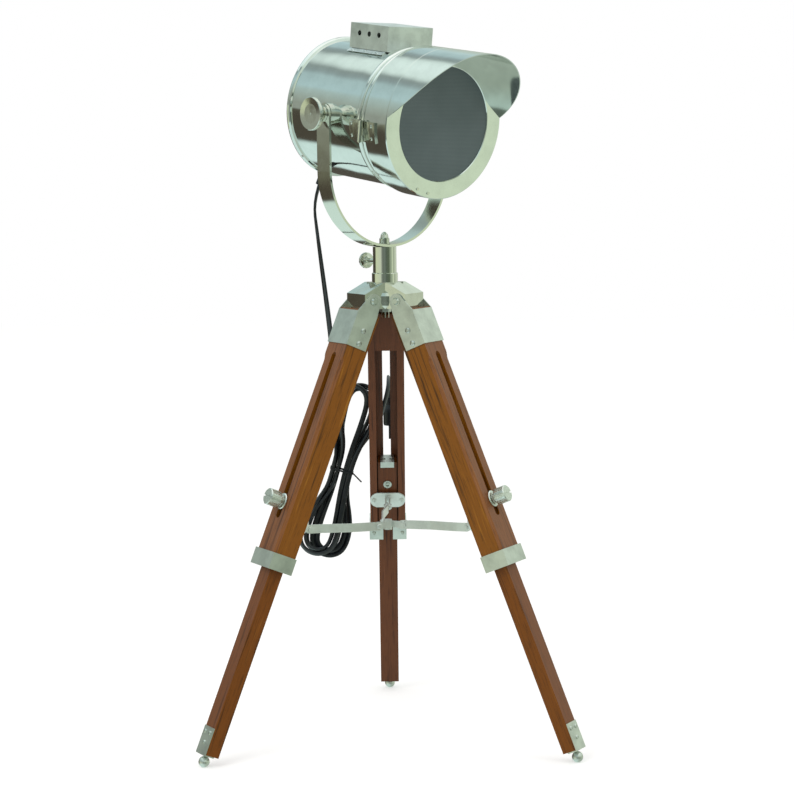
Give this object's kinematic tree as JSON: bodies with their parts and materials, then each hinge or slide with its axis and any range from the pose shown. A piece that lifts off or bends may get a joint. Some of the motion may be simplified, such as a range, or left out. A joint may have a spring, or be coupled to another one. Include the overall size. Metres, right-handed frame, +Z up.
{
  "type": "tripod spotlight floor lamp",
  "caption": "Polished drum spotlight with visor and hinged glass door on a yoke over a folding wooden tripod with sliding legs, strap spreader and black flex.",
  "frame": {"origin": "on the floor under the tripod's upright axis", "axes": "+Z up, -Y towards the viewer of the picture, back leg along +Y"},
  "size_m": [0.4844, 0.4567, 0.9161],
  "materials": {
    "wood": "satin lacquer",
    "satin_steel": "satin",
    "aluminium": "satin",
    "smoked_glass": "gloss",
    "bulb_glass": "frosted",
    "holder_plastic": "matt",
    "black_rubber": "semi-gloss",
    "black_plastic": "semi-gloss",
    "plain_steel": "bright",
    "knurled_steel": "knurled",
    "chrome": "polished"
  },
  "bodies": {
    "crown": {"hub_casting": "chrome", "spindle": "chrome", "hub_nut": "plain_steel", "pivot_bolts": "plain_steel", "dome_nut": "chrome", "cord_hank": "black_rubber", "cord_tail": "black_rubber", "cord_tie": "black_rubber", "plug": "black_plastic", "cord_lead": "black_rubber"},
    "yoke_body": {"yoke": "chrome", "yoke_sleeve": "chrome"},
    "pan_lock": {"pan_screw": "chrome"},
    "head": {"drum_shell": "chrome", "vent_hood": "satin_steel", "vent_rivets": "aluminium", "cable_gland": "black_plastic", "tilt_spacers": "chrome", "tilt_studs": "chrome", "reflector": "aluminium", "lamp_holder": "holder_plastic", "bulb": "bulb_glass", "hinge_leaf_drum": "chrome", "door_catch": "satin_steel", "head_screws": "plain_steel"},
    "door": {"door_ring": "chrome", "visor": "chrome", "lens": "smoked_glass", "lens_ring": "plain_steel", "hinge_leaf_door": "chrome", "door_screws": "plain_steel"},
    "knob_near": {"tilt_knob_near": "chrome"},
    "knob_far": {"tilt_knob_far": "chrome"},
    "spreader": {"spreader_centre": "satin_steel"},
    "upper_back": {"upper_leg_back": "wood", "top_ferrule_back": "satin_steel", "bottom_ferrule_back": "satin_steel", "strap_bracket_back": "satin_steel"},
    "lower_back": {"lower_leg_back": "wood", "lower_fittings_back": "satin_steel"},
    "knob_back": {"leg_knob_back": "knurled_steel"},
    "strap_back_link": {"strap_back": "satin_steel"},
    "upper_left": {"upper_leg_left": "wood", "top_ferrule_left": "satin_steel", "bottom_ferrule_left": "satin_steel", "strap_bracket_left": "satin_steel"},
    "lower_left": {"lower_leg_left": "wood", "lower_fittings_left": "satin_steel"},
    "knob_left": {"leg_knob_left": "knurled_steel"},
    "strap_left_link": {"strap_left": "satin_steel"},
    "upper_right": {"upper_leg_right": "wood", "top_ferrule_right": "satin_steel", "bottom_ferrule_right": "satin_steel", "strap_bracket_right": "satin_steel"},
    "lower_right": {"lower_leg_right": "wood", "lower_fittings_right": "satin_steel"},
    "knob_right": {"leg_knob_right": "knurled_steel"},
    "strap_right_link": {"strap_right": "satin_steel"}
  },
  "joints": [
    {"name": "pan", "type": "hinge", "parent": "crown", "child": "yoke_body", "pos_m": [0, 0, 0.61], "axis": [0, 0, 1], "range_deg": [-90, 90], "deforming": ["cord_lead"]},
    {"name": "pan_lock_turn", "type": "hinge", "parent": "yoke_body", "child": "pan_lock", "pos_m": [0, 0, 0.616], "axis": [-0.5, 0.866, 0], "range_deg": [0, 270]},
    {"name": "tilt", "type": "hinge", "parent": "yoke_body", "child": "head", "pos_m": [0, 0, 0.802], "axis": [-0.7716, -0.6361, 0], "range_deg": [-35, 75]},
    {"name": "door_swing", "type": "hinge", "parent": "head", "child": "door", "pos_m": [-0.0278, -0.11971, 0.77919], "axis": [-0.0819, 0.0994, -0.9917], "range_deg": [0, 95]},
    {"name": "knob_near_turn", "type": "hinge", "parent": "head", "child": "knob_near", "pos_m": [-0.08179, -0.06742, 0.802], "axis": [-0.7716, -0.6361, 0], "range_deg": [0, 180]},
    {"name": "knob_far_turn", "type": "hinge", "parent": "head", "child": "knob_far", "pos_m": [0.08179, 0.06742, 0.802], "axis": [0.7716, 0.6361, 0], "range_deg": [0, 180]},
    {"name": "fold_back", "type": "hinge", "parent": "crown", "child": "upper_back", "pos_m": [0, 0.03, 0.568], "axis": [-1, 0, 0], "range_deg": [0, 17]},
    {"name": "extend_back", "type": "slide", "parent": "upper_back", "child": "lower_back", "axis": [0, -0.3891, 0.9212], "range_m": [0, 0.168], "deforming": ["cord_hank", "cord_tail"]},
    {"name": "clamp_back", "type": "hinge", "parent": "lower_back", "child": "knob_back", "pos_m": [0, 0.16406, 0.32773], "axis": [0, 0.9212, 0.3891], "range_deg": [0, 180]},
    {"name": "strap_swing_back", "type": "hinge", "parent": "upper_back", "child": "strap_back_link", "pos_m": [0, 0.11439, 0.28341], "axis": [-1, 0, 0], "range_deg": [0, 68]},
    {"name": "fold_left", "type": "hinge", "parent": "crown", "child": "upper_left", "pos_m": [-0.02598, -0.015, 0.568], "axis": [0.5, -0.866, 0], "range_deg": [0, 17]},
    {"name": "extend_left", "type": "slide", "parent": "upper_left", "child": "lower_left", "axis": [0.337, 0.1946, 0.9212], "range_m": [0, 0.168]},
    {"name": "clamp_left", "type": "hinge", "parent": "lower_left", "child": "knob_left", "pos_m": [-0.14208, -0.08203, 0.32773], "axis": [-0.7978, -0.4606, 0.3891], "range_deg": [0, 180]},
    {"name": "strap_swing_left", "type": "hinge", "parent": "upper_left", "child": "strap_left_link", "pos_m": [-0.09907, -0.0572, 0.28341], "axis": [0.5, -0.866, 0], "range_deg": [0, 68]},
    {"name": "fold_right", "type": "hinge", "parent": "crown", "child": "upper_right", "pos_m": [0.02598, -0.015, 0.568], "axis": [0.5, 0.866, 0], "range_deg": [0, 17]},
    {"name": "extend_right", "type": "slide", "parent": "upper_right", "child": "lower_right", "axis": [-0.337, 0.1946, 0.9212], "range_m": [0, 0.168]},
    {"name": "clamp_right", "type": "hinge", "parent": "lower_right", "child": "knob_right", "pos_m": [0.14208, -0.08203, 0.32773], "axis": [0.7978, -0.4606, 0.3891], "range_deg": [0, 180]},
    {"name": "strap_swing_right", "type": "hinge", "parent": "upper_right", "child": "strap_right_link", "pos_m": [0.09907, -0.0572, 0.28341], "axis": [0.5, 0.866, 0], "range_deg": [0, 68]},
    {"name": "spreader_rise", "type": "slide", "parent": "crown", "child": "spreader", "axis": [0, 0, 1], "range_m": [0, 0.09]}
  ],
  "couplings": [
    {"joint": "strap_swing_back", "follows": "fold_back", "ratio": 3.9754},
    {"joint": "fold_left", "follows": "fold_back", "ratio": 1},
    {"joint": "strap_swing_left", "follows": "fold_back", "ratio": 3.9754},
    {"joint": "fold_right", "follows": "fold_back", "ratio": 1},
    {"joint": "strap_swing_right", "follows": "fold_back", "ratio": 3.9754},
    {"joint": "spreader_rise", "follows": "fold_back", "m_per_rad": 0.29932}
  ]
}
